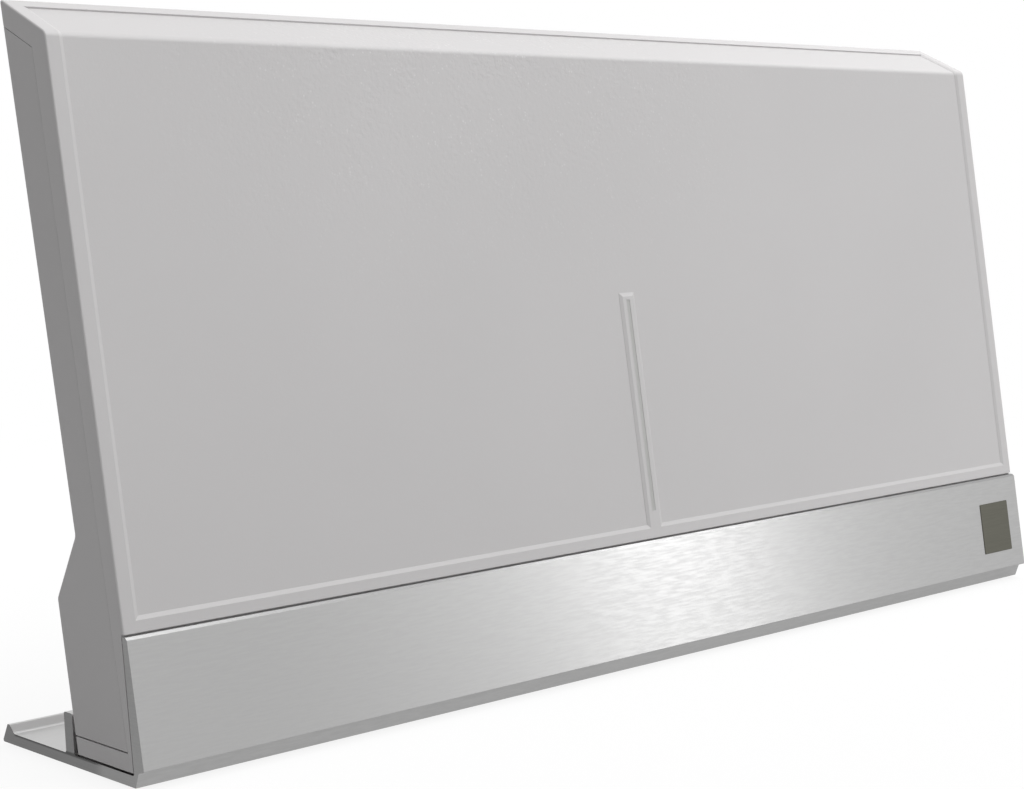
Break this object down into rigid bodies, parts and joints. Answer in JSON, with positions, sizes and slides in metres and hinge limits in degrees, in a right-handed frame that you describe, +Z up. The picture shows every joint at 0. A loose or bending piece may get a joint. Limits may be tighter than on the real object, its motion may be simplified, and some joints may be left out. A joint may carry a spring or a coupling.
{
  "type": "indoor tv antenna",
  "caption": "Slim silver-grey indoor TV antenna that leans back in a brushed aluminium stand, with a recessed front field, a light slit and coax and power sockets at the rear.",
  "frame": {"origin": "middle of the stand's outline, on the surface that the foot pads rest on", "axes": "+X along the width to the viewer's right, +Y from the panel to the rear, +Z up"},
  "size_m": [0.3, 0.05, 0.1487],
  "materials": {
    "brushed_aluminium": "brushed along its length, satin anodised",
    "silver_plastic": "silver-grey moulding, satin border and fine-textured field",
    "clear_plastic": "clear light guide, polished",
    "lamp_resin": "clear resin",
    "tinned_sheet": "tinned sheet, bright",
    "circuit_board": "green solder mask",
    "black_resin": "moulded chip package",
    "can_aluminium": "drawn can",
    "ferrite": "sintered, dull",
    "nickel_plate": "nickel plated, turned",
    "white_plastic": "natural moulded insulator",
    "contact_brass": "plated contact metal",
    "black_plastic": "black moulding",
    "zinc_screw": "zinc plated",
    "foot_rubber": "soft black rubber"
  },
  "bodies": {
    "root": {"stand_extrusion": "brushed_aluminium", "front_cover": "silver_plastic", "rear_cover": "silver_plastic", "light_guide": "clear_plastic", "status_lamp": "lamp_resin", "left_antenna_plate": "tinned_sheet", "right_antenna_plate": "tinned_sheet", "amplifier_board": "circuit_board", "shield_frame": "tinned_sheet", "shield_lid": "tinned_sheet", "amplifier_chip": "black_resin", "regulator_chip": "black_resin", "filter_capacitor": "can_aluminium", "balun_core": "ferrite", "coax_barrel": "nickel_plate", "coax_insulator": "white_plastic", "coax_contact": "contact_brass", "coax_washer": "nickel_plate", "coax_nut": "nickel_plate", "power_jack_body": "black_plastic", "power_jack_pin": "nickel_plate", "power_jack_spring": "contact_brass", "cover_screws": "zinc_screw", "stand_screws": "zinc_screw", "foot_pad_left_front": "foot_rubber", "foot_pad_left_rear": "foot_rubber", "foot_pad_right_front": "foot_rubber", "foot_pad_right_rear": "foot_rubber"}
  },
  "joints": []
}
